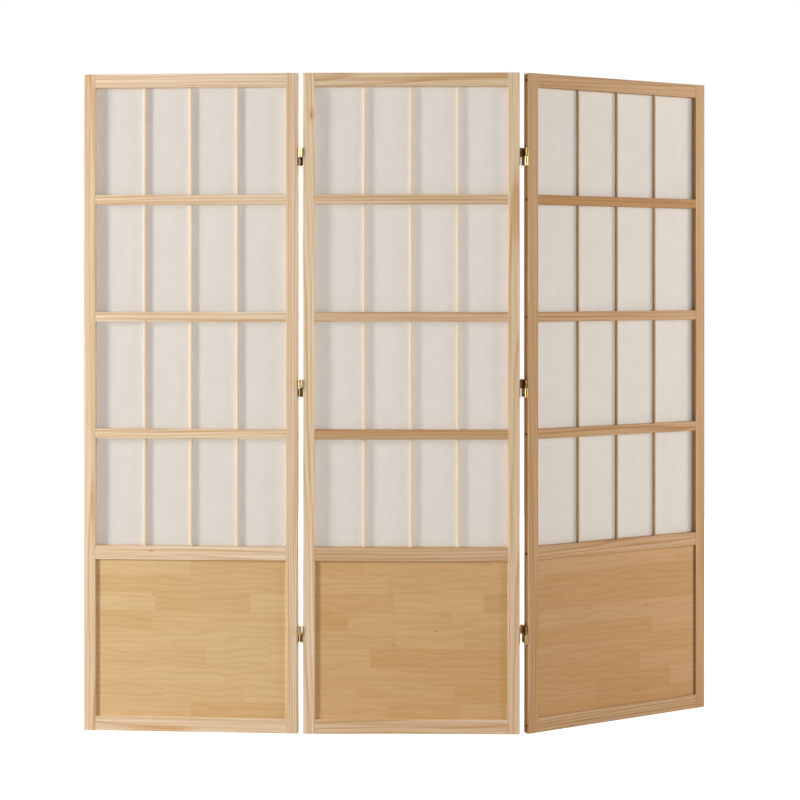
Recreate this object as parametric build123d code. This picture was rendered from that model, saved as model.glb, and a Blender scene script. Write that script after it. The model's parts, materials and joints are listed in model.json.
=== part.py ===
"""Folding room divider screen: three hinged pine panels with a paper window over a solid board.

Frame: +X to the right seen from the front, +Y to the back, +Z up, floor at Z = 0, millimetres.
Every panel is drawn flat in its own frame (X from 0 at its left edge, Y from 0 at its front face
to the back, Z from 0 at its foot) and then carried to its place. Every hinge is drawn in the frame
of its gap (X = 0 in the middle of the gap, Y = 0 in the middle of the panel's thickness).
"""
from build123d import *
import os

# ---------------------------------------------------------------- driving dimensions, in mm
panel_height = 1500.0
panel_width = 492.0
panel_thickness = 20.0
panel_gap = 11.0                # between the edges of two panels when they stand in line
left_fold_deg = 2.6             # how far each wing is folded back as the screen stands
right_fold_deg = 26.0

stile_width = 26.5
top_rail_height = 31.0
mid_rail_height = 22.0
lock_rail_height = 31.0
bottom_rail_height = 33.0
cell_height = 245.0             # clear height of one row of window cells
cell_rows = 4
edge_round = 1.6                # rounding of the frame's outer long edges
inner_edge_round = 0.8          # rounding of the rails' and stiles' inner front edges
rail_setback = 0.4              # rail fronts behind stile fronts

muntin_width = 5.0
muntin_depth = 7.5
muntin_pitch = 106.5
muntin_count = 3
muntin_tenon = 6.0              # length of a muntin's stub tenon
muntin_edge_round = 1.2

paper_depth = 14.0              # from the frame's front face to the paper's front
paper_thickness = 0.5
rebate_width = 8.0              # of the rebate that the paper and its beads lie in
paper_edge_gap = 0.8            # between the paper's edge and the rebate's wall
batten_height = 16.0            # strips behind the mid rails

board_setback = 5.0             # board face behind the frame's front face
board_thickness = 9.0
groove_depth = 8.0
groove_side_gap = 0.2           # spare width of the board's groove, behind the board
board_edge_gap = 1.2            # room for the board to swell, at the bottom of its groove

frame_screw_shank_r = 1.9
frame_screw_head_r = 3.8
frame_screw_head_height = 2.6
frame_screw_length = 62.0
frame_screw_sink = 2.2          # heads below the stile's edge face
frame_screw_depth_in_rail = 9.0  # screw axis behind the frame's front face
screw_hole_gap = 0.2            # radial, round the shank and head in the stile
recess_width = 0.9              # cross recess in every screw head
recess_depth = 1.0

hinge_height = 40.0
bottom_hinge_height = 225.0     # hinge centres: above the foot,
top_hinge_drop = 190.0          # below the panel's top,
middle_hinge_lift = 16.5        # and above the middle between those two
leaf_thickness = 1.4
link_thickness = 1.6
barrel_gap = 0.35               # between a barrel and the flat leaf beside it
pin_r = 1.7
pin_running_gap = 0.05          # radial, pin in a leaf's knuckle
knuckle_axial_gap = 0.3
pin_face_gap = 0.4              # pin axis beyond the panel's face
pin_head_r = 2.8
pin_head_height = 0.8
hinge_screw_shank_r = 1.5
hinge_screw_head_r = 2.8
hinge_screw_head_height = 1.3
hinge_screw_length = 15.0
hinge_screw_spread = 24.0       # between a leaf's two screws

# ---------------------------------------------------------------- worked out from them
window_bottom = panel_height - top_rail_height - cell_rows * cell_height - (cell_rows - 1) * mid_rail_height
lock_rail_bottom = window_bottom - lock_rail_height
opening_width = panel_width - 2 * stile_width
window_top = panel_height - top_rail_height
mid_rail_bottoms = [
    window_bottom + cell_height * (row + 1) + mid_rail_height * row for row in range(cell_rows - 1)
]
rails = {                       # name: (bottom, height), from the top down
    "top_rail": (window_top, top_rail_height),
    "upper_mid_rail": (mid_rail_bottoms[2], mid_rail_height),
    "middle_mid_rail": (mid_rail_bottoms[1], mid_rail_height),
    "lower_mid_rail": (mid_rail_bottoms[0], mid_rail_height),
    "lock_rail": (lock_rail_bottom, lock_rail_height),
    "bottom_rail": (0.0, bottom_rail_height),
}
mid_rails = ("upper_mid_rail", "middle_mid_rail", "lower_mid_rail")
muntin_front = paper_depth - muntin_depth
lap_depth = paper_depth - muntin_depth / 2          # where a muntin and a mid rail halve into each other
muntin_centres = [
    panel_width / 2 + muntin_pitch * (i - (muntin_count - 1) / 2) for i in range(muntin_count)
]
paper_back = paper_depth + paper_thickness
knuckle_r = panel_gap / 2 - leaf_thickness - barrel_gap  # the barrels fill the gap between the leaves
rear_pin_y = panel_thickness / 2 + pin_face_gap
front_pin_y = -rear_pin_y
top_hinge_height = panel_height - top_hinge_drop
middle_hinge_height = (bottom_hinge_height + top_hinge_height) / 2 + middle_hinge_lift
hinge_centres = (bottom_hinge_height, middle_hinge_height, top_hinge_height)
half_hinge = hinge_height / 2
knuckle_height = (half_hinge - 2 * knuckle_axial_gap) / 3


# ---------------------------------------------------------------- helpers
def block(x0, x1, y0, y1, z0, z1):
    """A box between two corners."""
    middle = Pos((x0 + x1) / 2, (y0 + y1) / 2, (z0 + z1) / 2)
    return middle * Box(abs(x1 - x0), abs(y1 - y0), abs(z1 - z0))


def edges_near(solid, axis, **place):
    """The solid's straight edges along an axis whose middle lies at the given coordinates."""
    found = solid.edges().filter_by(axis)
    for name, value in place.items():
        found = found.filter_by(lambda e, n=name, v=value: abs(getattr(e.center(), n) - v) < 0.01)
    return found


def cross_recess(head_r):
    """The cross cut in a screw head whose face is at Z = 0 and which points down."""
    arm = head_r * 0.62
    bar = block(-arm, arm, -recess_width / 2, recess_width / 2, -recess_depth, recess_width)
    return bar + Rot(0, 0, 90) * bar


def countersunk_screw(shank_r, head_r, head_height, length):
    """A countersunk screw with its flat head at Z = 0, pointing down."""
    tip = shank_r * 2
    profile = Polyline(
        (0, 0), (head_r, 0), (head_r, -0.4), (shank_r, -head_height), (shank_r, -length + tip), (0, -length),
        close=True,
    )
    body = revolve(Plane.XZ * make_face(profile), Axis.Z)
    return body - cross_recess(head_r)


def countersunk_hole(shank_r, head_r, head_height, length, sink, gap):
    """The hole such a screw leaves, with its mouth at Z = 0 and the head sunk below it."""
    wide, narrow = head_r + gap, shank_r + gap
    profile = Polyline(
        (0, 1), (wide, 1), (wide, -sink - 0.4), (narrow, -sink - head_height), (narrow, -length), (0, -length),
        close=True,
    )
    return revolve(Plane.XZ * make_face(profile), Axis.Z)


def pointing_right(x, y, z):
    """Turns a tool that points down so that it points along +X from the given place."""
    return Pos(x, y, z) * Rot(0, -90, 0)


def pointing_left(x, y, z):
    """Turns a tool that points down so that it points along -X from the given place."""
    return Pos(x, y, z) * Rot(0, 90, 0)


# ---------------------------------------------------------------- panel pieces, in the panel's frame
def rail_fixings():
    """Where each frame screw enters: (height, from the left edge or not)."""
    for bottom, height in rails.values():
        for from_left in (True, False):
            yield bottom + height / 2, from_left


def frame_screw_place(height, from_left, sink=0.0):
    """The place and direction of one frame screw."""
    if from_left:
        return pointing_right(sink, frame_screw_depth_in_rail, height)
    return pointing_left(panel_width - sink, frame_screw_depth_in_rail, height)


def frame_screw_holes():
    """All the screw holes of a panel as one tool."""
    hole = countersunk_hole(
        frame_screw_shank_r, frame_screw_head_r, frame_screw_head_height, stile_width,
        frame_screw_sink, screw_hole_gap,
    )
    return [frame_screw_place(height, from_left) * hole for height, from_left in rail_fixings()]


def frame_pilot_holes():
    """The tight holes in the rail ends, the size of the screw's shank."""
    tip = frame_screw_shank_r * 2
    end = frame_screw_length + frame_screw_sink
    profile = Polyline(
        (0, 0), (frame_screw_shank_r, 0), (frame_screw_shank_r, -end + tip), (0, -end), close=True
    )
    pilot = revolve(Plane.XZ * make_face(profile), Axis.Z)
    return [frame_screw_place(height, from_left) * pilot for height, from_left in rail_fixings()]


def hinge_screw_heights():
    """Heights above the floor of the hinge screws on one panel edge."""
    return [centre + side * hinge_screw_spread / 2 for centre in hinge_centres for side in (-1, 1)]


def hinge_pilot_holes(left_edge, right_edge):
    """Holes in the stile edges for the hinge screws, the size of the screws' shanks."""
    depth = hinge_screw_length - leaf_thickness
    tip = hinge_screw_shank_r * 2
    profile = Polyline(
        (0, 1), (hinge_screw_shank_r, 1), (hinge_screw_shank_r, -depth + tip), (0, -depth), close=True
    )
    pilot = revolve(Plane.XZ * make_face(profile), Axis.Z)
    middle = panel_thickness / 2
    holes = []
    for height in hinge_screw_heights():
        if left_edge:
            holes.append(pointing_right(0, middle, height) * pilot)
        if right_edge:
            holes.append(pointing_left(panel_width, middle, height) * pilot)
    return holes


def rebate_and_groove():
    """The space that the paper's rebate and the board's groove take out of the frame."""
    inner_left, inner_right = stile_width, panel_width - stile_width
    rebate = block(
        inner_left - rebate_width, inner_right + rebate_width, paper_depth, panel_thickness + 1,
        window_bottom - rebate_width, window_top + rebate_width,
    )
    groove = block(
        inner_left - groove_depth, inner_right + groove_depth,
        board_setback, board_setback + board_thickness + groove_side_gap,
        bottom_rail_height - groove_depth, lock_rail_bottom + groove_depth,
    )
    return rebate, groove


def make_stile(left, hinge_left, hinge_right):
    """One full-height upright."""
    x0 = 0 if left else panel_width - stile_width
    x1 = x0 + stile_width
    outer, inner = (x0, x1) if left else (x1, x0)
    stile = block(x0, x1, 0, panel_thickness, 0, panel_height)
    outer_edges = edges_near(stile, Axis.Z, X=outer)
    ends = edges_near(stile, Axis.X, Y=0) + edges_near(stile, Axis.X, Y=panel_thickness)
    stile = fillet(outer_edges + ends, edge_round)
    stile = fillet(edges_near(stile, Axis.Z, X=inner, Y=0), inner_edge_round)
    cuts = [*rebate_and_groove(), *frame_screw_holes(), *hinge_pilot_holes(hinge_left, hinge_right)]
    return stile - [cut for cut in cuts if reaches(cut, stile)]


def reaches(tool, solid):
    """Whether two shapes' boxes meet, so that only tools that cut are used."""
    a, b = tool.bounding_box(), solid.bounding_box()
    return all(
        getattr(a.min, axis) < getattr(b.max, axis) and getattr(b.min, axis) < getattr(a.max, axis)
        for axis in ("X", "Y", "Z")
    )


def muntin_outline(centre, front, back, bottom, top):
    """A plain bar on a muntin's centre line."""
    return block(centre - muntin_width / 2, centre + muntin_width / 2, front, back, bottom, top)


def make_rail(name):
    """One cross piece, between the stiles, with its rebate, groove, mortises or laps."""
    bottom, height = rails[name]
    is_mid = name in mid_rails
    back = paper_depth if is_mid else panel_thickness
    rail = block(stile_width, panel_width - stile_width, rail_setback, back, bottom, bottom + height)
    rail = fillet(edges_near(rail, Axis.X, Y=rail_setback), inner_edge_round)
    if is_mid:
        cuts = [
            muntin_outline(centre, lap_depth, paper_depth + 1, bottom - 1, bottom + height + 1)
            for centre in muntin_centres
        ]
    else:
        cuts = list(rebate_and_groove())
        if name == "top_rail":
            span = (window_top - 1, window_top + muntin_tenon)
        else:
            span = (window_bottom - muntin_tenon, window_bottom + 1)
        cuts += [muntin_outline(centre, muntin_front, paper_depth, *span) for centre in muntin_centres]
    cuts += frame_pilot_holes()
    return rail - [cut for cut in cuts if reaches(cut, rail)]


def make_muntins():
    """The upright bars of the window: full length, halved over the mid rails."""
    bars = []
    for centre in muntin_centres:
        bar = muntin_outline(
            centre, muntin_front, paper_depth, window_bottom - muntin_tenon, window_top + muntin_tenon
        )
        bar = fillet(edges_near(bar, Axis.Z, Y=muntin_front), muntin_edge_round)
        for name in mid_rails:
            bottom, height = rails[name]
            bar -= block(
                centre - muntin_width, centre + muntin_width, muntin_front - 1, lap_depth, bottom, bottom + height
            )
        bars.append(bar)
    return bars


def make_paper():
    """The sheet behind the window."""
    side = rebate_width - paper_edge_gap
    return block(
        stile_width - side, panel_width - stile_width + side, paper_depth, paper_back,
        window_bottom - side, window_top + side,
    )


def make_beads():
    """The strips in the rebate that hold the paper, and the battens behind the mid rails."""
    left, right = stile_width - rebate_width, panel_width - stile_width + rebate_width
    low, high = window_bottom - rebate_width, window_top + rebate_width
    back = panel_thickness
    strips = [
        block(left, stile_width, paper_back, back, low, high),
        block(panel_width - stile_width, right, paper_back, back, low, high),
        block(stile_width, panel_width - stile_width, paper_back, back, low, window_bottom),
        block(stile_width, panel_width - stile_width, paper_back, back, window_top, high),
    ]
    for name in mid_rails:
        bottom, height = rails[name]
        middle = bottom + height / 2
        strips.append(
            block(
                stile_width, panel_width - stile_width, paper_back, back,
                middle - batten_height / 2, middle + batten_height / 2,
            )
        )
    return strips


def make_board():
    """The solid board of the lower field, loose in its groove."""
    side = groove_depth - board_edge_gap
    return block(
        stile_width - side, panel_width - stile_width + side,
        board_setback, board_setback + board_thickness,
        bottom_rail_height - side, lock_rail_bottom + side,
    )


def make_frame_screws():
    """The screws that hold the rail ends, through the stiles' edges."""
    screw = countersunk_screw(
        frame_screw_shank_r, frame_screw_head_r, frame_screw_head_height, frame_screw_length
    )
    return [frame_screw_place(height, from_left, frame_screw_sink) * screw for height, from_left in rail_fixings()]


def make_panel(prefix, hinge_left, hinge_right):
    """All the pieces of one panel, in the panel's frame, by node name."""
    pieces = {
        f"{prefix}_left_stile": [make_stile(True, hinge_left, False)],
        f"{prefix}_right_stile": [make_stile(False, False, hinge_right)],
    }
    for name in rails:
        pieces[f"{prefix}_{name}"] = [make_rail(name)]
    pieces[f"{prefix}_muntins"] = make_muntins()
    pieces[f"{prefix}_paper"] = [make_paper()]
    pieces[f"{prefix}_paper_beads"] = make_beads()
    pieces[f"{prefix}_board"] = [make_board()]
    pieces[f"{prefix}_frame_screws"] = make_frame_screws()
    return pieces


# ---------------------------------------------------------------- hinge pieces, in the gap's frame
def knuckle_span(level, low_half):
    """Bottom and top of one of a barrel's three knuckles, from the hinge's mid height."""
    bottom = (-half_hinge if low_half else 0.0) + level * (knuckle_height + knuckle_axial_gap)
    return bottom, bottom + knuckle_height


def barrel(radius, pin_y, bottom, top):
    """A round length on a pin's axis."""
    return Pos(0, pin_y, (bottom + top) / 2) * Cylinder(radius, top - bottom)


def make_leaf(plate_side, pin_y, low_half):
    """A plate screwed to a stile's edge, with the outer two knuckles of its barrel."""
    outer = plate_side * panel_gap / 2
    inner = outer - plate_side * leaf_thickness
    face = panel_thickness / 2
    way = 1 if pin_y > 0 else -1
    leaf = block(outer, inner, -face, face, -half_hinge, half_hinge)
    for level in (0, 2):
        bottom, top = knuckle_span(level, low_half)
        leaf += block(outer, plate_side * pin_r, pin_y, pin_y - way * leaf_thickness, bottom, top)
        leaf += block(outer, inner, way * face, pin_y, bottom, top)
        leaf += barrel(knuckle_r, pin_y, bottom, top)
        leaf -= barrel(pin_r + pin_running_gap, pin_y, bottom - 1, top + 1)
    hole = countersunk_hole(
        hinge_screw_shank_r, hinge_screw_head_r, hinge_screw_head_height, hinge_screw_length, 0, screw_hole_gap
    )
    for height in (-hinge_screw_spread / 2, hinge_screw_spread / 2):
        place = pointing_right if plate_side > 0 else pointing_left
        leaf -= place(inner, 0, height) * hole
    return leaf


def make_link(front_low):
    """The plate between the two pins, cut away round each barrel, with its middle knuckle."""
    face = panel_thickness / 2
    side = link_thickness / 2
    clear = knuckle_r + barrel_gap
    end_clear = pin_head_height + knuckle_axial_gap
    link = block(-side, side, -face, face, -half_hinge, half_hinge)
    for pin_y, low_half in ((front_pin_y, front_low), (rear_pin_y, not front_low)):
        way = 1 if pin_y > 0 else -1
        low, high = knuckle_span(0, low_half)[0], knuckle_span(2, low_half)[1]
        link -= block(
            -link_thickness, link_thickness, pin_y + way * clear, pin_y - way * clear, low - end_clear, high + end_clear
        )
    for pin_y, low_half in ((front_pin_y, front_low), (rear_pin_y, not front_low)):
        bottom, top = knuckle_span(1, low_half)
        link += block(-side, side, 0, pin_y, bottom, top)
        link += barrel(knuckle_r, pin_y, bottom, top)
        link -= barrel(pin_r, pin_y, bottom - 1, top + 1)
    return link


def make_pin(pin_y, low_half):
    """A riveted pin with a low head at each end."""
    bottom = knuckle_span(0, low_half)[0]
    top = knuckle_span(2, low_half)[1]
    pin = barrel(pin_r, pin_y, bottom, top)
    for end, way in ((bottom, -1), (top, 1)):
        head = Pos(0, pin_y, end + way * pin_head_height / 2) * Cylinder(pin_head_r, pin_head_height)
        rim = head.edges().filter_by(GeomType.CIRCLE).sort_by(Axis.Z)[-1 if way > 0 else 0]
        pin += fillet(rim, pin_head_height * 0.6)
    return pin


def make_hinge_screws(plate_side):
    """The two screws of a leaf."""
    screw = countersunk_screw(
        hinge_screw_shank_r, hinge_screw_head_r, hinge_screw_head_height, hinge_screw_length
    )
    inner = plate_side * (panel_gap / 2 - leaf_thickness)
    place = pointing_right if plate_side > 0 else pointing_left
    return [place(inner, 0, height) * screw for height in (-hinge_screw_spread / 2, hinge_screw_spread / 2)]


# ---------------------------------------------------------------- the screen
def turn_about(x, y, degrees):
    """A turn about an upright axis."""
    return Pos(x, y, 0) * Rot(0, 0, degrees) * Pos(-x, -y, 0)


pitch = panel_width + panel_gap
gap_x = pitch / 2                                   # middle of the right gap; the left one is opposite
wings = {                                           # name: (side, fold of the wing as it stands)
    "left": (-1, turn_about(-gap_x, rear_pin_y, -left_fold_deg)),
    "right": (1, turn_about(gap_x, rear_pin_y, right_fold_deg)),
}
hinge_names = ("bottom", "middle", "top")

nodes = {}                                          # node name: list of shapes


def place_pieces(pieces, place):
    """Adds pieces to the nodes of their names, carried to their place."""
    for name, shapes in pieces.items():
        nodes.setdefault(name, []).extend(place * shape for shape in shapes)


to_centre = Pos(-panel_width / 2, -panel_thickness / 2, 0)
place_pieces(make_panel("centre", True, True), to_centre)
for wing, (side, fold) in wings.items():
    panel = make_panel(wing, side > 0, side < 0)
    place_pieces(panel, fold * Pos(side * pitch, 0, 0) * to_centre)
    front_low = side > 0                            # the two gaps' hinges are fitted opposite ways up
    for hinge_name, height in zip(hinge_names, hinge_centres):
        at = Pos(side * gap_x, 0, height)
        place_pieces(
            {
                f"{wing}_gap_centre_leaves": [make_leaf(-side, rear_pin_y, not front_low)],
                "centre_hinge_screws": make_hinge_screws(-side),
            },
            at,
        )
        place_pieces(
            {
                f"{wing}_gap_wing_leaves": [make_leaf(side, front_pin_y, front_low)],
                f"{wing}_gap_{hinge_name}_link": [make_link(front_low)],
                f"{wing}_gap_front_pins": [make_pin(front_pin_y, front_low)],
                f"{wing}_gap_rear_pins": [make_pin(rear_pin_y, not front_low)],
                f"{wing}_hinge_screws": make_hinge_screws(side),
            },
            fold * at,
        )

# The origin is on the floor under the middle of the whole screen's box.
boxes = [shape.bounding_box() for shapes in nodes.values() for shape in shapes]
centre_x = (min(box.min.X for box in boxes) + max(box.max.X for box in boxes)) / 2
centre_y = (min(box.min.Y for box in boxes) + max(box.max.Y for box in boxes)) / 2
to_origin = Pos(-centre_x, -centre_y, 0)

os.makedirs("parts", exist_ok=True)
for name, shapes in nodes.items():
    solids = [solid for shape in shapes for solid in (to_origin * shape).solids()]
    export_step(solids[0] if len(solids) == 1 else Compound(solids), f"parts/{name}.step")

print(len(nodes), "nodes,", sum(len(shapes) for shapes in nodes.values()), "solids")
print("origin moved by", round(-centre_x, 4), round(-centre_y, 4))
for wing, (side, fold) in wings.items():
    for pin_name, pin_y in (("rear", rear_pin_y), ("front", front_pin_y)):
        axis = (to_origin * fold * Pos(side * gap_x, pin_y, 0)).position
        print(wing, pin_name, "pin at", round(axis.X, 4), round(axis.Y, 4))
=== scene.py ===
# %% [markdown]
# # A folding screen of three pine panels
# The screen has three equal panels. Each one is a slim pine frame with a paper window that is
# crossed by thin bars, and a board glued up from short staves below it. The frame, the hinges and
# the screws come from the CAD model and stay exactly as they are: this lesson gives them their
# wood and metal, and makes the two things that CAD only blocks out, the paper and the boards.

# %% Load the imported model
import math
import random

import bpy
from mathutils import Matrix, Vector
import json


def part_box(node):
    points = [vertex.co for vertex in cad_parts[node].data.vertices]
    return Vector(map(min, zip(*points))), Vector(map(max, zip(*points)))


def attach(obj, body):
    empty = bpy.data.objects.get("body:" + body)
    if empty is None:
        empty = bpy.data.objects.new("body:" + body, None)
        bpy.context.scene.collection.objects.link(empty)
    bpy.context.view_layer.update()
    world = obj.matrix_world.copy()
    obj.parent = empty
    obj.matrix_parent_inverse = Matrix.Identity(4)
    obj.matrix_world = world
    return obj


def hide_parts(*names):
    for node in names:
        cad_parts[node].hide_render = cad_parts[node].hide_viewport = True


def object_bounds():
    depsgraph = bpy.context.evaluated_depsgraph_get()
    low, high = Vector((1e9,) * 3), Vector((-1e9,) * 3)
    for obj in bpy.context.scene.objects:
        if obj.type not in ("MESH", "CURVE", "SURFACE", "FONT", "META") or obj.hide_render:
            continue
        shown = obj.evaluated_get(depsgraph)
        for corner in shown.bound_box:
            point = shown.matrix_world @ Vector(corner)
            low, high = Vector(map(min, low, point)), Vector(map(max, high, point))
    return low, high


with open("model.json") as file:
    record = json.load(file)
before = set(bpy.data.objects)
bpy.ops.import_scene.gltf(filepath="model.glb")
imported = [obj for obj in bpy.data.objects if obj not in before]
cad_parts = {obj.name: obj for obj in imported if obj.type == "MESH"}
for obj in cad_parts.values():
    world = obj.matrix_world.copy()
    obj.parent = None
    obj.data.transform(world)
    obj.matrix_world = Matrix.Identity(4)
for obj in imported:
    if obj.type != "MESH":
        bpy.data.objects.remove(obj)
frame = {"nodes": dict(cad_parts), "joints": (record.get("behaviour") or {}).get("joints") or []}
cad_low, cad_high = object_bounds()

# %% [markdown]
# ## Where each panel stands
# The middle panel faces the viewer, and each wing is folded back at its hinges. The fold could be
# measured from the meshes, but the joints already say it: a rear pin's lowest angle is the one
# that brings its wing back in line. Every flat part is then made in its panel's own flat frame,
# and carried to its place by one matrix.

# %% The panels and their folds
PANELS = ("left", "centre", "right")
RAILS = ("top_rail", "upper_mid_rail", "middle_mid_rail", "lower_mid_rail", "lock_rail", "bottom_rail")
fold = {joint["name"].split("_")[0]: -joint["range_deg"][0] for joint in frame["joints"]
        if joint["name"].endswith("rear_pins")}
turn = {"left": math.radians(-fold["left"]), "centre": 0.0, "right": math.radians(fold["right"])}


def middle(node):
    """The middle of a CAD node's box."""
    low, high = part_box(node)
    return (low + high) / 2


def size(node):
    """The size of a CAD node's box. It is the piece's own size only on the middle panel."""
    low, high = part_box(node)
    return high - low


def carry(panel, node):
    """Takes a piece drawn flat round its own middle to where the panel's node is."""
    return Matrix.Translation(middle(f"{panel}_{node}")) @ Matrix.Rotation(turn[panel], 4, "Z")


print("turns, in degrees:", {panel: round(math.degrees(angle), 1) for panel, angle in turn.items()})

# %% [markdown]
# ## The camera
# A camera at chest height, level, a little over three metres in front of the screen, keeps the
# upright edges upright. Tilting it would make them lean, so the lens is shifted down instead, as
# with a view camera.

# %% Camera
STAND_BACK = 3.283        # in front of the middle panel, in metres
CAMERA_HEIGHT = 1.0262
CAMERA_SIDE = 0.0091      # to the right of the middle panel's centre line
CAMERA_TURN = math.radians(0.607)
LENS = 64.99              # millimetres, on a 36 mm sensor
LENS_SHIFT = -0.148

centre = middle("centre_board")
camera_data = bpy.data.cameras.new("camera")
camera_data.lens = LENS
camera_data.shift_y = LENS_SHIFT
camera = bpy.data.objects.new("camera", camera_data)
camera.location = (centre.x + CAMERA_SIDE, centre.y - STAND_BACK, CAMERA_HEIGHT)
camera.rotation_euler = (math.radians(90), 0, CAMERA_TURN)
bpy.context.scene.collection.objects.link(camera)
bpy.context.scene.camera = camera
print("camera at", tuple(round(c, 3) for c in camera.location))

# %% [markdown]
# ## Light
# The screen is lit by one tall soft window far to its left, which grazes the fronts and draws the
# soft shadows beside every stile and bar, and by a softer, warmer fill far to its right, which is
# most of what reaches the right wing. A third soft light stands in the room behind and shines through
# the paper, as daylight does through a real window screen.


# %% Lamps
def soft_lamp(name, place, aim, width, height, power, colour):
    """A rectangular lamp at a place, turned towards a point."""
    data = bpy.data.lights.new(name, "AREA")
    data.shape = "RECTANGLE"
    data.size = width
    data.size_y = height
    data.energy = power
    data.color = colour
    lamp = bpy.data.objects.new(name, data)
    lamp.location = place
    lamp.rotation_euler = (Vector(aim) - Vector(place)).to_track_quat("-Z", "Y").to_euler()
    bpy.context.scene.collection.objects.link(lamp)
    return lamp


WHITE = (1.0, 0.99, 0.975)
WARM = (1.0, 0.955, 0.90)
screen_middle = centre + Vector((0, 0, 0.5))
for name, side, back, up, width, height, power, colour in (
        ("window", -4.6, -1.6, 1.75, 0.79, 2.4, 262.0, WHITE),
        ("fill", 4.2, -1.1, 1.6, 1.8, 1.8, 118.0, WARM),
        ("room_behind", 0.5, 2.8, 1.5, 3.0, 2.4, 62.0, WHITE)):
    place = Vector((centre.x + side, centre.y + back, up))
    soft_lamp(name, place, screen_middle, width, height, power, colour)

# %% [markdown]
# ## The room and the floor
# A plain floor reaches far past the screen. It and the world look white to the camera, while the
# light that they throw back stays weak, so that the pale wood keeps its shading. The Light Path
# node tells a view ray from a light ray.

# %% Room and floor
ROOM_LIGHT = 0.13
FLOOR_HALF = 200.0
FLOOR_GLOW = 0.90

bpy.context.scene.view_settings.view_transform = "Standard"
world = bpy.data.worlds.new("room")
world.use_nodes = True
bpy.context.scene.world = world
tree = world.node_tree
path = tree.nodes.new("ShaderNodeLightPath")
strength = tree.nodes.new("ShaderNodeMapRange")
strength.inputs["To Min"].default_value = ROOM_LIGHT
strength.inputs["To Max"].default_value = 1.0
tree.links.new(path.outputs["Is Camera Ray"], strength.inputs["Value"])
tree.nodes["Background"].inputs["Color"].default_value = (1, 1, 1, 1)
tree.links.new(strength.outputs["Result"], tree.nodes["Background"].inputs["Strength"])

floor_mesh = bpy.data.meshes.new("floor")
floor_mesh.from_pydata(
    [(x * FLOOR_HALF, y * FLOOR_HALF, cad_low.z) for x, y in ((-1, -1), (1, -1), (1, 1), (-1, 1))],
    [], [(0, 1, 2, 3)],
)
floor = bpy.data.objects.new("floor", floor_mesh)
bpy.context.scene.collection.objects.link(floor)
floor_paint = bpy.data.materials.new("pale_floor")
floor_paint.use_nodes = True
tree = floor_paint.node_tree
shader = tree.nodes["Principled BSDF"]
shader.inputs["Base Color"].default_value = (0.72, 0.72, 0.72, 1)
shader.inputs["Roughness"].default_value = 0.9
shader.inputs["Specular IOR Level"].default_value = 0.1
shader.inputs["Emission Color"].default_value = (1, 1, 1, 1)
path = tree.nodes.new("ShaderNodeLightPath")
glow = tree.nodes.new("ShaderNodeMath")
glow.operation = "MULTIPLY"
glow.inputs[1].default_value = FLOOR_GLOW
tree.links.new(path.outputs["Is Camera Ray"], glow.inputs[0])
tree.links.new(glow.outputs[0], shader.inputs["Emission Strength"])
floor_mesh.materials.append(floor_paint)
print("lamps and floor ready")

# %% [markdown]
# ## Two small helpers for nodes
# Every finish below is a tree of nodes. A tree reads better when each node is one line that says
# what it is and what feeds it, so `add` makes a node, sets its options and plugs its inputs, and
# `new_group` makes an empty node group with named inputs and outputs.


# %% Node helpers
def add(tree, kind, feeds=(), **options):
    """Add a node; feeds are pairs of an input's name or number and a value or another output."""
    made = tree.nodes.new(kind)
    for name, value in options.items():
        setattr(made, name, value)
    for key, feed in feeds:
        if isinstance(feed, bpy.types.NodeSocket):
            tree.links.new(feed, made.inputs[key])
        else:
            made.inputs[key].default_value = feed
    return made


def maths(tree, operation, *feeds):
    """One sum on one or two values."""
    return add(tree, "ShaderNodeMath", enumerate(feeds), operation=operation).outputs[0]


def mix(tree, share, first, second, blend="MIX"):
    """Two colours mixed by a share of the second."""
    return add(tree, "ShaderNodeMix", ((0, share), (6, first), (7, second)),
               data_type="RGBA", blend_type=blend).outputs[2]


def spread(tree, value, low, high):
    """A value from 0 to 1 stretched to another range."""
    return add(tree, "ShaderNodeMapRange", (("Value", value), ("To Min", low), ("To Max", high))).outputs[0]


def noise(tree, place, scale, detail=2.0, roughness=0.5):
    """Soft noise from 0 to 1 at a place."""
    return add(tree, "ShaderNodeTexNoise", (("Vector", place), ("Scale", scale), ("Detail", detail),
                                            ("Roughness", roughness)))


def stretched(tree, place, scale):
    """A place with each axis scaled by itself."""
    return add(tree, "ShaderNodeVectorMath", ((0, place), (1, scale)), operation="MULTIPLY").outputs[0]


def ramp(tree, value, stops):
    """A curve through stops of position and grey level."""
    made = add(tree, "ShaderNodeValToRGB", (("Fac", value),))
    elements = made.color_ramp.elements
    while len(elements) < len(stops):
        elements.new(0.5)
    for element, (position, level) in zip(elements, stops):
        element.position = position
        element.color = (level, level, level, 1)
    return made.outputs["Color"]


def new_group(name, inputs, outputs):
    """An empty shader group; inputs are name, kind and default, outputs are name and kind."""
    group = bpy.data.node_groups.new(name, "ShaderNodeTree")
    for label, kind, default in inputs:
        socket = group.interface.new_socket(name=label, in_out="INPUT", socket_type=f"NodeSocket{kind}")
        if default is not None:
            socket.default_value = default
    for label, kind in outputs:
        group.interface.new_socket(name=label, in_out="OUTPUT", socket_type=f"NodeSocket{kind}")
    return group, add(group, "NodeGroupInput").outputs, add(group, "NodeGroupOutput").inputs


print("node helpers ready")

# %% [markdown]
# ## Pine grain
# A pine stick is cut from a trunk, so its figure is a slice through growth rings: pale early wood
# that darkens slowly into a thin amber line of late wood, and then starts pale again. The group
# works that out in three dimensions, as rings round a heart that lies beside the stick and leans
# a little. The same rings then show as straight streaks on one face and as long arches on the
# next, and they meet at the edges, which a flat picture of wood can't do. The grain runs along Z
# of the vector that the group is given, so each material turns its own piece's length onto Z.

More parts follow.
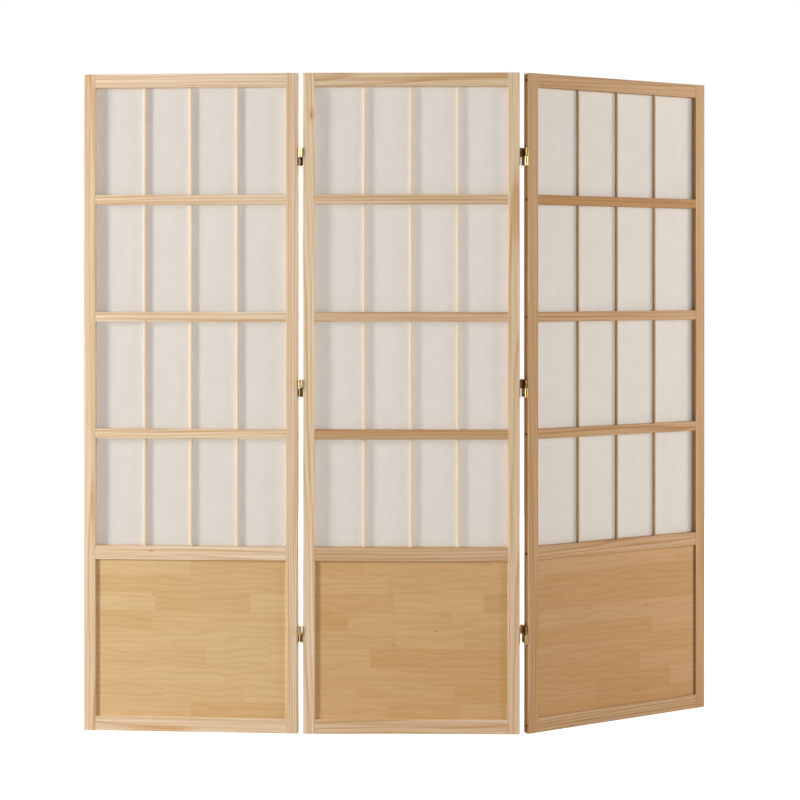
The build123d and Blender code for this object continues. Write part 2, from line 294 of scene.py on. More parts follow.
# %% The pine grain group
grain, given, result = new_group(
    "pine_grain",
    (("Vector", "Vector", None), ("Seed", "Float", 0.0), ("Early Wood", "Color", (0.8, 0.65, 0.48, 1)),
     ("Late Wood", "Color", (0.6, 0.38, 0.2, 1)), ("Ring Width", "Float", 0.006),
     ("Ring Strength", "Float", 0.5), ("Wander", "Float", 0.012)),
    (("Color", "Color"), ("Roughness", "Float"), ("Height", "Float")),
)
seed_step = add(grain, "ShaderNodeCombineXYZ", (
    (0, maths(grain, "MULTIPLY", given["Seed"], 0.731)),
    (1, maths(grain, "MULTIPLY", given["Seed"], 0.517)),
    (2, maths(grain, "MULTIPLY", given["Seed"], 1.913)),
)).outputs[0]
own_place = add(grain, "ShaderNodeVectorMath", ((0, given["Vector"]), (1, seed_step))).outputs[0]

slow = noise(grain, stretched(grain, own_place, (9, 9, 2.2)), 1.0, detail=2.0)
drift = add(grain, "ShaderNodeVectorMath", ((0, slow.outputs["Color"]), (1, (0.5, 0.5, 0.5))),
            operation="SUBTRACT").outputs[0]
drift = add(grain, "ShaderNodeVectorMath", ((0, drift), ("Scale", given["Wander"])),
            operation="SCALE").outputs[0]
bent = add(grain, "ShaderNodeSeparateXYZ", (
    (0, add(grain, "ShaderNodeVectorMath", ((0, given["Vector"]), (1, drift))).outputs[0]),)).outputs

heart_side = maths(grain, "SINE", maths(grain, "MULTIPLY", given["Seed"], 12.9))
heart_side = maths(grain, "MULTIPLY", heart_side, 0.05)
heart_depth = maths(grain, "COSINE", maths(grain, "MULTIPLY", given["Seed"], 7.3))
heart_depth = maths(grain, "ADD", maths(grain, "MULTIPLY", heart_depth, 0.018), 0.045)
lean = maths(grain, "MULTIPLY", bent[2], 0.012)
side = maths(grain, "SUBTRACT", maths(grain, "ADD", bent[0], lean), heart_side)
depth = maths(grain, "ADD", maths(grain, "ADD", bent[1], lean), heart_depth)
radius = maths(grain, "SQRT", maths(grain, "ADD", maths(grain, "MULTIPLY", side, side),
                                    maths(grain, "MULTIPLY", depth, depth)))
rings = maths(grain, "DIVIDE", radius, given["Ring Width"])
late = ramp(grain, maths(grain, "FRACT", rings),
            ((0.0, 0.12), (0.1, 0.0), (0.55, 0.22), (0.86, 1.0), (1.0, 0.12)))
year = add(grain, "ShaderNodeTexWhiteNoise", (("W", maths(grain, "FLOOR", rings)),),
           noise_dimensions="1D").outputs["Value"]
late = maths(grain, "MULTIPLY", late, spread(grain, year, 0.25, 1.0))

streak = noise(grain, stretched(grain, own_place, (210, 210, 2.6)), 1.0, detail=3.0, roughness=0.6).outputs[0]
fibre = noise(grain, stretched(grain, own_place, (1500, 1500, 26)), 1.0, detail=2.0).outputs[0]
cloud = noise(grain, stretched(grain, own_place, (16, 16, 4.5)), 1.0, detail=2.0).outputs[0]

late_share = maths(grain, "MULTIPLY", late, given["Ring Strength"])
streak_share = maths(grain, "MULTIPLY", ramp(grain, streak, ((0.42, 0.0), (0.72, 1.0))),
                     maths(grain, "MULTIPLY", given["Ring Strength"], 0.75))
share = maths(grain, "ADD", late_share, streak_share)
share = maths(grain, "ADD", share, spread(grain, cloud, -0.16, 0.16))
share = add(grain, "ShaderNodeClamp", ((0, share),)).outputs[0]
tone = mix(grain, share, given["Early Wood"], given["Late Wood"])
level = maths(grain, "MULTIPLY", spread(grain, fibre, 0.955, 1.045), spread(grain, cloud, 0.97, 1.03))
grey = add(grain, "ShaderNodeCombineColor", ((0, level), (1, level), (2, level))).outputs[0]
grain.links.new(mix(grain, 1.0, tone, grey, "MULTIPLY"), result["Color"])
grain.links.new(maths(grain, "ADD", spread(grain, fibre, 0.5, 0.6), maths(grain, "MULTIPLY", late, -0.08)),
                result["Roughness"])
height = maths(grain, "ADD", maths(grain, "MULTIPLY", fibre, 0.7), maths(grain, "MULTIPLY", late, 0.3))
grain.links.new(height, result["Height"])
print("pine_grain has", len(grain.nodes), "nodes")

# %% [markdown]
# ## Knots
# Where a branch left the trunk there is a small dark eye with a soft amber stain drawn out along
# the grain. The group gives the two masks round one point. Only a few pieces have one, so it sits
# beside the grain group and isn't part of it.

# %% The knot group
knot, given, result = new_group(
    "knot",
    (("Vector", "Vector", None), ("Centre", "Vector", (0, 0, 0)), ("Reach", "Float", 0.01),
     ("Stretch", "Float", 3.0)),
    (("Eye", "Float"), ("Stain", "Float")),
)
away = add(knot, "ShaderNodeVectorMath", ((0, given["Vector"]), (1, given["Centre"])),
           operation="SUBTRACT").outputs[0]
ripple = noise(knot, away, 160.0, detail=3.0).outputs["Color"]
ripple = add(knot, "ShaderNodeVectorMath", ((0, ripple), (1, (0.5, 0.5, 0.5))),
             operation="SUBTRACT").outputs[0]
ripple_size = maths(knot, "MULTIPLY", given["Reach"], 0.7)
ripple = add(knot, "ShaderNodeVectorMath", ((0, ripple), ("Scale", ripple_size)),
             operation="SCALE").outputs[0]
away = add(knot, "ShaderNodeSeparateXYZ", (
    (0, add(knot, "ShaderNodeVectorMath", ((0, away), (1, ripple))).outputs[0]),)).outputs
along = maths(knot, "DIVIDE", away[2], given["Stretch"])
far = maths(knot, "SQRT", maths(knot, "ADD", maths(knot, "MULTIPLY", away[0], away[0]),
                                maths(knot, "MULTIPLY", along, along)))
far = maths(knot, "DIVIDE", far, given["Reach"])
knot.links.new(ramp(knot, far, ((0.0, 1.0), (0.22, 0.85), (0.4, 0.0))), result["Eye"])
knot.links.new(ramp(knot, far, ((0.0, 1.0), (0.45, 0.75), (1.0, 0.0))), result["Stain"])
print("knot has", len(knot.nodes), "nodes")

# %% [markdown]
# ## One wood material for each piece
# No two sticks come from the same place in the tree, so every wooden node gets its own material
# turns the grain along it. The pine gets warmer and darker from the left panel to the right one:
# partly the wood's own tone, and partly painted shade, because the right wing faces away from the
# window and takes little of its light. A piece may be a little paler or more amber than its panel.

# %% Wood
PALE = Vector((0.93, 0.76, 0.57))          # early wood of the palest sticks
HONEY = Vector((0.60, 0.355, 0.155))        # early wood of the most amber ones
LATE_SHADE = Vector((0.74, 0.57, 0.37))    # late wood against early wood
# each panel's share is partly the pine's own tone and partly painted shade: the right wing is darkened
# because the window hardly lights it
PANEL_AMBER_AND_SHADE = {"left": 0.0, "centre": 0.22, "right": 0.80}
RAIL_AMBER = 0.06
MOST_AMBER = 1.2              # a little past honey, for the reddest rails
MUNTIN_AMBER = -0.22
BEAD_WIDTH = 0.008            # of the beads that hold the paper in its rebate
PIECE_AMBER = {"left_left_stile": 0.22, "left_right_stile": 0.20, "left_bottom_rail": 0.06,
               "centre_left_stile": -0.15, "centre_middle_mid_rail": 0.25, "centre_lower_mid_rail": 0.52,
               "centre_lock_rail": 0.28, "right_upper_mid_rail": 0.30, "right_lock_rail": -0.10,
               "right_bottom_rail": -0.18}
KNOTS = {"centre_left_stile": ((0.006, 0.655), 0.0075, 3.4), "right_top_rail": ((0.004, 0.11), 0.004, 3.0),
         "left_lock_rail": ((-0.005, -0.09), 0.004, 4.0)}


def opaque(colour):
    """A colour with its alpha."""
    return (*colour, 1.0)


def grain_mapping(tree, node, panel, crosswise):
    """The piece's own place with its length along Z, measured from its middle."""
    upright = Matrix.Rotation(-turn[panel], 3, "Z")
    if crosswise:
        upright = Matrix.Rotation(math.radians(-90), 3, "Y") @ upright
    place = add(tree, "ShaderNodeTexCoord").outputs["Object"]
    return add(tree, "ShaderNodeMapping", (
        ("Vector", place), ("Rotation", upright.to_euler()),
        ("Location", -(upright @ middle(node))))).outputs[0]


def beads_mapping(tree, node, panel):
    """Grain along each bead: upright in the two side beads, level in the others and the battens."""
    upright = grain_mapping(tree, node, panel, False)
    across = add(tree, "ShaderNodeSeparateXYZ", ((0, upright),)).outputs[0]
    side_bead = size("centre_paper_beads").x / 2 - BEAD_WIDTH
    at_side = maths(tree, "GREATER_THAN", maths(tree, "ABSOLUTE", across), side_bead)
    return mix(tree, at_side, grain_mapping(tree, node, panel, True), upright)


def wood(node, panel, crosswise, ring_width, ring_strength, seed, amber_extra=0.0):
    """A pine material for one CAD node."""
    material = bpy.data.materials.new(f"{node}_pine")
    material.use_nodes = True
    tree = material.node_tree
    shader = tree.nodes["Principled BSDF"]
    # the panel's share in this mix carries painted shade for the wings that the window lights less
    amber_and_shade = min(max(PANEL_AMBER_AND_SHADE[panel] + PIECE_AMBER.get(node, 0.0) + amber_extra, 0.0), MOST_AMBER)
    early = PALE.lerp(HONEY, amber_and_shade)
    late = Vector(a * b for a, b in zip(early, LATE_SHADE))
    if node.endswith("paper_beads"):
        place = beads_mapping(tree, node, panel)
    else:
        place = grain_mapping(tree, node, panel, crosswise)
    figure = add(tree, "ShaderNodeGroup", (), node_tree=grain)
    tree.links.new(place, figure.inputs["Vector"])
    figure.inputs["Seed"].default_value = seed
    figure.inputs["Early Wood"].default_value = opaque(early)
    figure.inputs["Late Wood"].default_value = opaque(late)
    figure.inputs["Ring Width"].default_value = ring_width
    figure.inputs["Ring Strength"].default_value = ring_strength
    colour = figure.outputs["Color"]
    if node in KNOTS:
        (across, along), reach, stretch = KNOTS[node]
        eye = add(tree, "ShaderNodeGroup", (), node_tree=knot)
        tree.links.new(place, eye.inputs["Vector"])
        eye.inputs["Centre"].default_value = (across, 0, along)
        eye.inputs["Reach"].default_value = reach
        eye.inputs["Stretch"].default_value = stretch
        colour = mix(tree, maths(tree, "MULTIPLY", eye.outputs["Stain"], 0.6), colour, (0.62, 0.36, 0.12, 1))
        colour = mix(tree, maths(tree, "MULTIPLY", eye.outputs["Eye"], 0.5), colour, (0.26, 0.12, 0.04, 1))
    tree.links.new(colour, shader.inputs["Base Color"])
    tree.links.new(figure.outputs["Roughness"], shader.inputs["Roughness"])
    shader.inputs["Specular IOR Level"].default_value = 0.35
    bump = add(tree, "ShaderNodeBump", (("Height", figure.outputs["Height"]), ("Strength", 0.25),
                                        ("Distance", 0.0003)))
    tree.links.new(bump.outputs[0], shader.inputs["Normal"])
    return material


def dress(node, material):
    """Put a material in every slot of a CAD node."""
    target = frame["nodes"][node]
    if not target.material_slots:
        target.data.materials.append(material)
    for slot in target.material_slots:
        slot.material = material


seeds = random.Random(11)
for panel in PANELS:
    for stile in ("left_stile", "right_stile"):
        node = f"{panel}_{stile}"
        dress(node, wood(node, panel, False, 0.0055, 0.86, seeds.uniform(1, 9)))
    for rail in RAILS:
        node = f"{panel}_{rail}"
        dress(node, wood(node, panel, True, 0.0065, 0.95, seeds.uniform(1, 9), RAIL_AMBER))
    node = f"{panel}_muntins"
    dress(node, wood(node, panel, False, 0.005, 0.4, seeds.uniform(1, 9), MUNTIN_AMBER))
    node = f"{panel}_paper_beads"
    dress(node, wood(node, panel, False, 0.006, 0.6, seeds.uniform(1, 9), 0.08))
print("wood materials:", sum(m.name.endswith("_pine") for m in bpy.data.materials))

# %% [markdown]
# ## The boards
# Below the window sits a board glued up from short pine staves in rows, planed flush and sanded.
# Drawing every stave by hand would be slow and look even, so Geometry Nodes lay them: each row
# runs on with random lengths, is cut off at the board's two ends, and every stave carries its own
# tone and its own place in the grain as attributes, which the material reads. A hair of bevel
# leaves the faint line of a glue joint.

# %% The stave tree
stave_tree = bpy.data.node_groups.new("lay_staves", "GeometryNodeTree")
for label, kind in (("Length", "Float"), ("Height", "Float"), ("Thickness", "Float"), ("Rows", "Int"),
                    ("Staves Per Row", "Int"), ("Shortest", "Float"), ("Longest", "Float"),
                    ("Seed", "Int"), ("Turn", "Rotation"), ("Place", "Vector"), ("Material", "Material")):
    stave_tree.interface.new_socket(name=label, in_out="INPUT", socket_type=f"NodeSocket{kind}")
stave_tree.interface.new_socket(name="Geometry", in_out="OUTPUT", socket_type="NodeSocketGeometry")
given = add(stave_tree, "NodeGroupInput").outputs
result = add(stave_tree, "NodeGroupOutput").inputs

points = add(stave_tree, "GeometryNodePoints", (
    ("Count", maths(stave_tree, "MULTIPLY", given["Rows"], given["Staves Per Row"])),)).outputs[0]
index = add(stave_tree, "GeometryNodeInputIndex").outputs[0]
row = maths(stave_tree, "FLOOR", maths(stave_tree, "DIVIDE", index, given["Staves Per Row"]))


def chance(low, high, place, shift, kind="FLOAT"):
    """A random value for each point, the same on every run."""
    made = add(stave_tree, "FunctionNodeRandomValue", data_type=kind)
    chosen = [socket for socket in made.inputs if socket.enabled]
    for socket, feed in zip(chosen[:2], (low, high)):
        if isinstance(feed, bpy.types.NodeSocket):
            stave_tree.links.new(feed, socket)
        else:
            socket.default_value = feed
    stave_tree.links.new(place, made.inputs["ID"])
    stave_tree.links.new(maths(stave_tree, "ADD", given["Seed"], shift), made.inputs["Seed"])
    return next(socket for socket in made.outputs if socket.enabled)


long = chance(given["Shortest"], given["Longest"], index, 0)
runs = add(stave_tree, "GeometryNodeAccumulateField", data_type="FLOAT", domain="POINT")
stave_tree.links.new(long, runs.inputs[0])
stave_tree.links.new(row, runs.inputs["Group ID"])
half = maths(stave_tree, "MULTIPLY", given["Length"], 0.5)
first = maths(stave_tree, "ADD", half, chance(0.0, given["Shortest"], row, 1))
start = maths(stave_tree, "SUBTRACT", runs.outputs["Trailing"], first)
end = maths(stave_tree, "SUBTRACT", runs.outputs["Leading"], first)
low_end = maths(stave_tree, "MULTIPLY", half, -1.0)
start = maths(stave_tree, "MINIMUM", maths(stave_tree, "MAXIMUM", start, low_end), half)
end = maths(stave_tree, "MINIMUM", maths(stave_tree, "MAXIMUM", end, low_end), half)
length = maths(stave_tree, "SUBTRACT", end, start)
row_height = maths(stave_tree, "DIVIDE", given["Height"], given["Rows"])
row_middle = maths(stave_tree, "MULTIPLY", maths(stave_tree, "ADD", row, 0.5), row_height)
spot = add(stave_tree, "ShaderNodeCombineXYZ", (
    (0, maths(stave_tree, "MULTIPLY", maths(stave_tree, "ADD", start, end), 0.5)),
    (2, maths(stave_tree, "SUBTRACT", row_middle,
              maths(stave_tree, "MULTIPLY", given["Height"], 0.5))))).outputs[0]
measure = add(stave_tree, "ShaderNodeCombineXYZ",
              ((0, length), (1, given["Thickness"]), (2, row_height))).outputs[0]
print("stave tree so far:", len(stave_tree.nodes), "nodes")

# %% [markdown]
# Every value is stored on its point before any point is deleted. Deleting renumbers the points, so
# a row or a random tone that was worked out afterwards would belong to another stave. Then the
# staves that fall wholly outside the board go, and a cube of the right size lands on each point
# that is left.


# %% The rest of the stave tree
def store(geometry, name, value, kind):
    """Keep a value on every point under a name."""
    made = add(stave_tree, "GeometryNodeStoreNamedAttribute", data_type=kind, domain="POINT")
    stave_tree.links.new(geometry, made.inputs["Geometry"])
    made.inputs["Name"].default_value = name
    stave_tree.links.new(value, next(s for s in made.inputs if s.name == "Value" and s.enabled))
    return made.outputs[0]


def recall(name, kind="FLOAT_VECTOR"):
    """Read a stored value back."""
    made = add(stave_tree, "GeometryNodeInputNamedAttribute", data_type=kind)
    made.inputs["Name"].default_value = name
    return made.outputs["Attribute"]


THINNEST_OFFCUT = 0.001     # a stave with less than this inside the board is left out
points = store(points, "stave_spot", spot, "FLOAT_VECTOR")
points = store(points, "stave_measure", measure, "FLOAT_VECTOR")
points = store(points, "stave_tone", chance(0.0, 1.0, index, 2), "FLOAT")
points = store(points, "stave_shift", chance((-9.0, -9.0, -9.0), (9.0, 9.0, 9.0), index, 3, "FLOAT_VECTOR"),
               "FLOAT_VECTOR")
width_left = add(stave_tree, "ShaderNodeSeparateXYZ", ((0, recall("stave_measure")),)).outputs[0]
outside = add(stave_tree, "FunctionNodeCompare", ((0, width_left), (1, THINNEST_OFFCUT)),
              operation="LESS_THAN").outputs[0]
points = add(stave_tree, "GeometryNodeDeleteGeometry",
             (("Geometry", points), ("Selection", outside))).outputs[0]
points = add(stave_tree, "GeometryNodeSetPosition",
             (("Geometry", points), ("Position", recall("stave_spot")))).outputs[0]
blank = add(stave_tree, "GeometryNodeMeshCube").outputs["Mesh"]
staves = add(stave_tree, "GeometryNodeInstanceOnPoints", (
    ("Points", points), ("Instance", blank), ("Scale", recall("stave_measure")))).outputs[0]
staves = add(stave_tree, "GeometryNodeRealizeInstances", (("Geometry", staves),)).outputs[0]
staves = add(stave_tree, "GeometryNodeTransform", (
    ("Geometry", staves), ("Rotation", given["Turn"]), ("Translation", given["Place"]))).outputs[0]
staves = add(stave_tree, "GeometryNodeSetMaterial",
             (("Geometry", staves), ("Material", given["Material"]))).outputs[0]
stave_tree.links.new(staves, result["Geometry"])
print("stave tree:", len(stave_tree.nodes), "nodes")

# %% [markdown]
# ## The board's finish
# It is the same grain, turned crosswise, but every stave takes its own shift through the tree and
# its own tone: most are even and sandy, and about one in four is more amber.

# %% The board grain group
board_grain, given, result = new_group(
    "board_grain",
    (("Vector", "Vector", None), ("Seed", "Float", 0.0), ("Early Wood", "Color", (0.6, 0.4, 0.2, 1)),
     ("Late Wood", "Color", (0.5, 0.3, 0.15, 1))),
    (("Color", "Color"), ("Roughness", "Float"), ("Height", "Float")),
)
wave = noise(board_grain, stretched(board_grain, given["Vector"], (22, 22, 6)), 1.0, detail=1.0).outputs[0]
lines = add(board_grain, "ShaderNodeSeparateXYZ", ((0, given["Vector"]),)).outputs
depth = maths(board_grain, "ADD", maths(board_grain, "MULTIPLY", lines[0], 60.0),
              maths(board_grain, "MULTIPLY", wave, 3.2))
late = ramp(board_grain, maths(board_grain, "FRACT", depth),
            ((0.0, 0.25), (0.12, 0.0), (0.6, 0.25), (0.88, 1.0), (1.0, 0.25)))
streak = noise(board_grain, stretched(board_grain, given["Vector"], (260, 260, 5)), 1.0,
               detail=3.0, roughness=0.6).outputs[0]
cloud = noise(board_grain, stretched(board_grain, given["Vector"], (30, 30, 9)), 1.0, detail=2.0).outputs[0]
fibre = noise(board_grain, stretched(board_grain, given["Vector"], (1500, 1500, 26)), 1.0,
              detail=2.0).outputs[0]
share = maths(board_grain, "ADD", maths(board_grain, "MULTIPLY", late, 0.36),
              maths(board_grain, "MULTIPLY", ramp(board_grain, streak, ((0.4, 0.0), (0.75, 1.0))), 0.35))
share = maths(board_grain, "ADD", share, spread(board_grain, cloud, -0.2, 0.25))
share = add(board_grain, "ShaderNodeClamp", ((0, share),)).outputs[0]
level = spread(board_grain, fibre, 0.96, 1.04)
grey = add(board_grain, "ShaderNodeCombineColor", ((0, level), (1, level), (2, level))).outputs[0]
tone = mix(board_grain, share, given["Early Wood"], given["Late Wood"])
board_grain.links.new(mix(board_grain, 1.0, tone, grey, "MULTIPLY"), result["Color"])
board_grain.links.new(spread(board_grain, fibre, 0.5, 0.6), result["Roughness"])
board_grain.links.new(fibre, result["Height"])
print("board_grain has", len(board_grain.nodes), "nodes")

# %% Board finish
# board colour per panel, darker towards the right: partly the pine's own tone and partly painted shade of the
# wings that the window lights less
BOARD_SAND_AND_SHADE = {"left": (0.79, 0.56, 0.295), "centre": (0.745, 0.485, 0.233), "right": (0.68, 0.42, 0.203)}
BOARD_KNOTS = {"left": (((-0.085, 0.10), 0.0035, 2.0),),
               "centre": (((0.055, 0.02), 0.004, 2.2), ((-0.055, -0.012), 0.003, 1.6),
                          ((-0.04, -0.012), 0.003, 1.6),
                          ((-0.035, -0.014), 0.002, 1.6)),
               "right": (((0.08, 0.05), 0.0035, 2.2),)}


def board_finish(panel):
    """The material of one board."""
    material = bpy.data.materials.new(f"{panel}_stave_board")
    material.use_nodes = True
    tree = material.node_tree
    shader = tree.nodes["Principled BSDF"]
    place = grain_mapping(tree, f"{panel}_board", panel, True)
    shift = add(tree, "ShaderNodeAttribute", attribute_name="stave_shift").outputs["Vector"]
    tone = add(tree, "ShaderNodeAttribute", attribute_name="stave_tone").outputs["Fac"]
    shifted = add(tree, "ShaderNodeVectorMath", ((0, place), (1, shift))).outputs[0]
    # the panel's board colour, which holds its painted shade
    sand_and_shade = Vector(BOARD_SAND_AND_SHADE[panel])
    deep = Vector((sand_and_shade.x * 0.90, sand_and_shade.y * 0.80, sand_and_shade.z * 0.66))
    figure = add(tree, "ShaderNodeGroup", (), node_tree=board_grain)
    tree.links.new(shifted, figure.inputs["Vector"])
    early = mix(tree, ramp(tree, tone, ((0.0, 0.0), (0.6, 0.25), (0.85, 0.6))), opaque(sand_and_shade), opaque(deep))
    tree.links.new(early, figure.inputs["Early Wood"])
    tree.links.new(mix(tree, 1.0, early, (0.84, 0.74, 0.60, 1), "MULTIPLY"), figure.inputs["Late Wood"])
    figure.inputs["Seed"].default_value = 2.0
    colour = figure.outputs["Color"]
    for (across, along), reach, stretch in BOARD_KNOTS[panel]:
        eye = add(tree, "ShaderNodeGroup", (), node_tree=knot)
        tree.links.new(place, eye.inputs["Vector"])
        eye.inputs["Centre"].default_value = (-along, 0, across)
        eye.inputs["Reach"].default_value = reach
        eye.inputs["Stretch"].default_value = stretch
        colour = mix(tree, maths(tree, "MULTIPLY", eye.outputs["Stain"], 0.35), colour, (0.42, 0.22, 0.08, 1))
        colour = mix(tree, maths(tree, "MULTIPLY", eye.outputs["Eye"], 0.6), colour, (0.2, 0.09, 0.03, 1))
    tree.links.new(colour, shader.inputs["Base Color"])
    tree.links.new(figure.outputs["Roughness"], shader.inputs["Roughness"])
    shader.inputs["Specular IOR Level"].default_value = 0.35
    bump = add(tree, "ShaderNodeBump", (("Height", figure.outputs["Height"]), ("Strength", 0.2),
                                        ("Distance", 0.0003)))
    tree.links.new(bump.outputs[0], shader.inputs["Normal"])
    return material

# %% Lay the three boards
STAVE_ROWS = 9
STAVES_PER_ROW = 5
SHORTEST_STAVE = 0.13
LONGEST_STAVE = 0.34
GLUE_LINE = 0.00012


def set_input(modifier, label, value):
    """Set a Geometry Nodes input, found by its name, through its identifier."""
    socket = next(s for s in modifier.node_group.interface.items_tree
                  if s.item_type == "SOCKET" and s.in_out == "INPUT" and s.name == label)
    modifier[socket.identifier] = value


board_size = size("centre_board")
for number, panel in enumerate(PANELS):
    board = bpy.data.objects.new(f"{panel}_stave_board", bpy.data.meshes.new("start"))
    bpy.context.scene.collection.objects.link(board)
    layer = board.modifiers.new("lay_staves", "NODES")
    layer.node_group = stave_tree
    for label, value in (
            ("Length", board_size.x), ("Height", board_size.z), ("Thickness", board_size.y),
            ("Rows", STAVE_ROWS), ("Staves Per Row", STAVES_PER_ROW), ("Shortest", SHORTEST_STAVE),
            ("Longest", LONGEST_STAVE), ("Seed", 10 * number + 3), ("Turn", (0.0, 0.0, turn[panel])),
            ("Place", tuple(middle(f"{panel}_board"))), ("Material", board_finish(panel))):
        set_input(layer, label, value)
    laid = board.evaluated_get(bpy.context.evaluated_depsgraph_get())
    board.data = bpy.data.meshes.new_from_object(laid)
    board.data.name = board.name
    board.modifiers.remove(layer)
    joint = board.modifiers.new("glue_lines", "BEVEL")
    joint.width = GLUE_LINE
    joint.segments = 1
    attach(board, "centre_panel" if panel == "centre" else f"{panel}_panel")
    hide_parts(f"{panel}_board")
    print(board.name, "has", len(board.data.polygons) // 6, "staves")

# %% [markdown]
# ## The paper
# The window is one sheet of pale fibre paper behind the bars, glued all round and pulled flat. It
# never stays perfectly flat: between the bars it swells and slackens by a fraction of a
# millimetre, and the grazing window light shows it. A cloth simulation would be slow for so
# little, so the slack is written straight into a fine grid: long slanting waves that die away at
# the frame and at every bar, where the sheet is held.

# %% Paper finish
paper_fibre, given, result = new_group(
    "paper_fibre", (("Vector", "Vector", None), ("Tint", "Color", (0.8, 0.76, 0.7, 1))),
    (("Color", "Color"), ("Roughness", "Float"), ("Height", "Float")),
)
strands = noise(paper_fibre, stretched(paper_fibre, given["Vector"], (260, 260, 90)), 1.0,
                detail=4.0, roughness=0.65).outputs[0]
pulp = noise(paper_fibre, stretched(paper_fibre, given["Vector"], (38, 38, 30)), 1.0, detail=3.0).outputs[0]
level = maths(paper_fibre, "MULTIPLY", spread(paper_fibre, strands, 0.975, 1.02),
              spread(paper_fibre, pulp, 0.955, 1.035))
grey = add(paper_fibre, "ShaderNodeCombineColor", ((0, level), (1, level), (2, level))).outputs[0]
paper_fibre.links.new(mix(paper_fibre, 1.0, given["Tint"], grey, "MULTIPLY"), result["Color"])
paper_fibre.links.new(spread(paper_fibre, strands, 0.72, 0.86), result["Roughness"])
paper_fibre.links.new(strands, result["Height"])

PAPER_TINT = (0.612, 0.558, 0.502, 1)
paper_finish = bpy.data.materials.new("window_paper")
paper_finish.use_nodes = True
tree = paper_finish.node_tree
shader = tree.nodes["Principled BSDF"]
pulp_look = add(tree, "ShaderNodeGroup", (), node_tree=paper_fibre)
tree.links.new(add(tree, "ShaderNodeTexCoord").outputs["Object"], pulp_look.inputs["Vector"])
pulp_look.inputs["Tint"].default_value = PAPER_TINT
tree.links.new(pulp_look.outputs["Color"], shader.inputs["Base Color"])
tree.links.new(pulp_look.outputs["Roughness"], shader.inputs["Roughness"])
shader.inputs["Specular IOR Level"].default_value = 0.25
shader.inputs["Subsurface Weight"].default_value = 1.0
shader.inputs["Subsurface Radius"].default_value = (1.0, 1.0, 1.0)
shader.inputs["Subsurface Scale"].default_value = 0.001
bump = add(tree, "ShaderNodeBump", (("Height", pulp_look.outputs["Height"]), ("Strength", 0.12),
                                    ("Distance", 0.0002)))
tree.links.new(bump.outputs[0], shader.inputs["Normal"])
print("paper finish:", paper_finish.name)

# %% Stretch the three sheets
GRID_STEP = 0.0065
PAPER_THICK = 0.00016
SLACK = 0.00033            # most that the sheet stands back from the bars
BARS = 3                   # upright bars in one window
BAR_PITCH = 0.1065         # from one bar to the next
GLUED_EDGE = 0.008         # how far in from its edge the sheet is glued flat
EDGE_REACH = 0.03          # over which it comes free beside the frame
BAR_REACH = 0.022          # and beside a bar
paper_size = size("centre_paper")


def held_flat(u, w):
    """How free the sheet is at a point, from 0 at the frame and the bars to 1 between them."""
    edge = min(paper_size.x / 2 - abs(u), paper_size.z / 2 - abs(w))
    free = min(1.0, max(0.0, edge - GLUED_EDGE) / EDGE_REACH)
    for bar in range(BARS):
        free *= min(1.0, abs(u - BAR_PITCH * (bar - (BARS - 1) / 2)) / BAR_REACH)
    return free * free * (3 - 2 * free)


def slack(u, w, phase):
    """How far the sheet stands back at a point, in metres."""
    slant = math.sin(56 * u + 24 * w + phase) + 0.7 * math.sin(-30 * u + 46 * w + 2.1 * phase)
    fine = 0.35 * math.sin(130 * u + 52 * w + 3.3 * phase)
    lower = 0.55 + 0.45 * min(1.0, max(0.0, 0.5 - w / paper_size.z))
    return SLACK * held_flat(u, w) * lower * (slant + fine + 2.05) / 4.1


for number, panel in enumerate(PANELS):
    columns, rows = round(paper_size.x / GRID_STEP), round(paper_size.z / GRID_STEP)
    across = [paper_size.x * (c / columns - 0.5) for c in range(columns + 1)]
    up = [paper_size.z * (r / rows - 0.5) for r in range(rows + 1)]
    front = -paper_size.y / 2 + PAPER_THICK / 2
    points = [(u, front + slack(u, w, 1.7 * number + 0.4), w) for w in up for u in across]
    faces = [(r * (columns + 1) + c, r * (columns + 1) + c + 1, (r + 1) * (columns + 1) + c + 1,
              (r + 1) * (columns + 1) + c) for r in range(rows) for c in range(columns)]
    sheet_mesh = bpy.data.meshes.new(f"{panel}_window_paper")
    sheet_mesh.from_pydata(points, [], faces)
    sheet_mesh.transform(carry(panel, "paper"))
    sheet_mesh.materials.append(paper_finish)
    for face in sheet_mesh.polygons:
        face.use_smooth = True
    paper = bpy.data.objects.new(f"{panel}_window_paper", sheet_mesh)
    bpy.context.scene.collection.objects.link(paper)
    body = paper.modifiers.new("paper_thickness", "SOLIDIFY")
    body.thickness = PAPER_THICK
    body.offset = 0.0
    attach(paper, "centre_panel" if panel == "centre" else f"{panel}_panel")
    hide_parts(f"{panel}_paper")
    print(paper.name, "has", len(sheet_mesh.polygons), "faces")

# %% [markdown]
# ## Brass and steel
# The hinges are bright brass that fingers have dulled a little, with browner patches where the
# lacquer has gone. The sunk screws in the edges are black steel. Both are metals with small
# changes of colour and roughness, so the group gives a patchy mask that each finish uses.

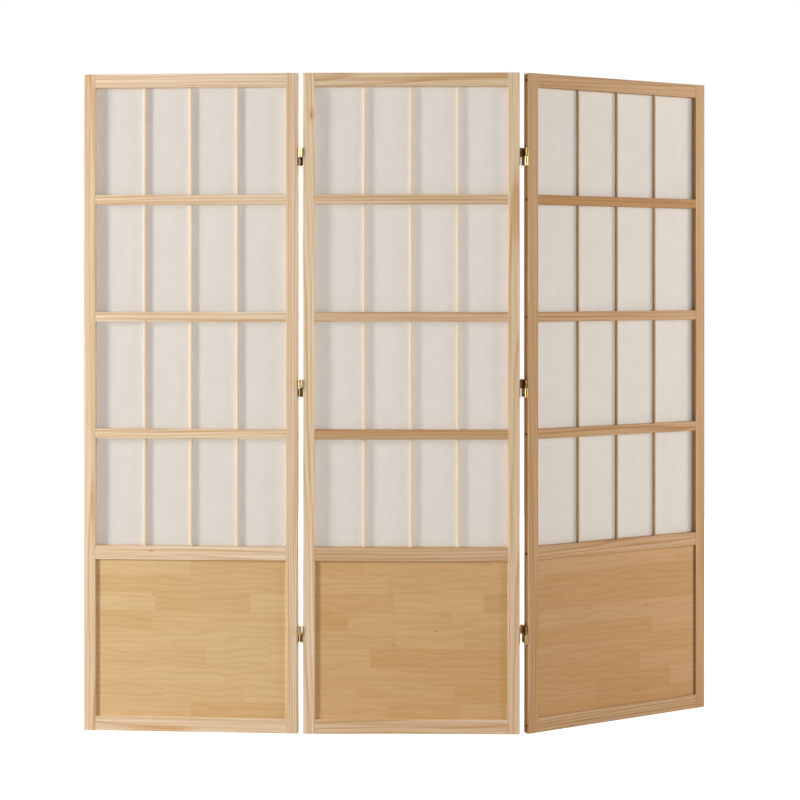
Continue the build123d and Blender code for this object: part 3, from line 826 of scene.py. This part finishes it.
# %% The patina group and the metals
patina, given, result = new_group(
    "patina",
    (("Vector", "Vector", None), ("Clean", "Color", (0.8, 0.6, 0.3, 1)),
     ("Dull", "Color", (0.4, 0.25, 0.1, 1)),
     ("Smooth", "Float", 0.25), ("Rough", "Float", 0.45)),
    (("Color", "Color"), ("Roughness", "Float"), ("Height", "Float")),
)
patch = noise(patina, given["Vector"], 420.0, detail=4.0, roughness=0.6).outputs[0]
scuff = noise(patina, stretched(patina, given["Vector"], (900, 900, 3200)), 1.0, detail=2.0).outputs[0]
dull = ramp(patina, patch, ((0.4, 0.0), (0.68, 1.0)))
patina.links.new(mix(patina, dull, given["Clean"], given["Dull"]), result["Color"])
rougher = maths(patina, "MULTIPLY", dull, maths(patina, "SUBTRACT", given["Rough"], given["Smooth"]))
smooth = maths(patina, "ADD", given["Smooth"], spread(patina, scuff, -0.05, 0.05))
patina.links.new(maths(patina, "ADD", rougher, smooth), result["Roughness"])
patina.links.new(scuff, result["Height"])


def metal(name, clean, dull, smooth, rough, metallic):
    """A metal finish with patches of patina."""
    material = bpy.data.materials.new(name)
    material.use_nodes = True
    tree = material.node_tree
    shader = tree.nodes["Principled BSDF"]
    look = add(tree, "ShaderNodeGroup", (), node_tree=patina)
    tree.links.new(add(tree, "ShaderNodeTexCoord").outputs["Object"], look.inputs["Vector"])
    for label, value in (("Clean", opaque(clean)), ("Dull", opaque(dull)), ("Smooth", smooth),
                         ("Rough", rough)):
        look.inputs[label].default_value = value
    tree.links.new(look.outputs["Color"], shader.inputs["Base Color"])
    tree.links.new(look.outputs["Roughness"], shader.inputs["Roughness"])
    shader.inputs["Metallic"].default_value = metallic
    bump = add(tree, "ShaderNodeBump", (("Height", look.outputs["Height"]), ("Strength", 0.1),
                                        ("Distance", 0.0001)))
    tree.links.new(bump.outputs[0], shader.inputs["Normal"])
    return material


brass = metal("hinge_brass", (0.86, 0.64, 0.30), (0.45, 0.27, 0.10), 0.22, 0.42, 1.0)
screw_brass = metal("hinge_screw_brass", (0.74, 0.52, 0.24), (0.36, 0.21, 0.08), 0.3, 0.5, 1.0)
screw_steel = metal("frame_screw_steel", (0.06, 0.055, 0.05), (0.11, 0.1, 0.09), 0.35, 0.55, 1.0)
for name in frame["nodes"]:
    if name.endswith("hinge_screws"):
        dress(name, screw_brass)
    elif name.endswith("frame_screws"):
        dress(name, screw_steel)
    elif "_gap_" in name:
        dress(name, brass)
print("metals:", brass.name, screw_brass.name, screw_steel.name)

# %% The json module
import json
